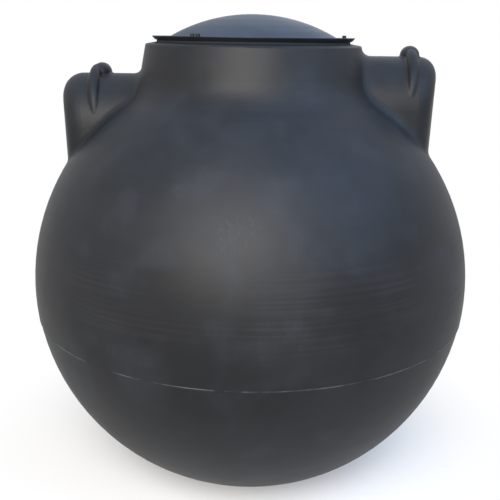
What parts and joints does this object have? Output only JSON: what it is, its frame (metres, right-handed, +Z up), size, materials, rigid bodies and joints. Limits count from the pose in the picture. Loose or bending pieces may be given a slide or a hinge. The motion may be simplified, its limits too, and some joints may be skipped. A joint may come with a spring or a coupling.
{
  "type": "septic pump tank",
  "caption": "Black spherical moulded tank with a manway neck, two ribbed pipe pods and a domed, screwed-down lid.",
  "frame": {"origin": "middle of the flat base, on the ground", "axes": "+Z up, +X towards the higher inlet pod, +Y away from the viewer of the picture"},
  "size_m": [1.373, 1.3732, 1.4436],
  "materials": {
    "moulded_shell": "rotationally moulded black polyethylene, semi-matt, lightly scuffed",
    "moulded_lid": "rotationally moulded black polyethylene, semi-matt, dusty on top",
    "foam_gasket": "black closed-cell foam strip",
    "black_screw": "black coated steel hex head"
  },
  "bodies": {
    "root": {"tank_shell": "moulded_shell", "manway_lid": "moulded_lid", "lid_gasket": "foam_gasket", "lid_screw_1": "black_screw", "lid_screw_2": "black_screw", "lid_screw_3": "black_screw", "lid_screw_4": "black_screw", "lid_screw_5": "black_screw", "lid_screw_6": "black_screw"}
  },
  "joints": []
}
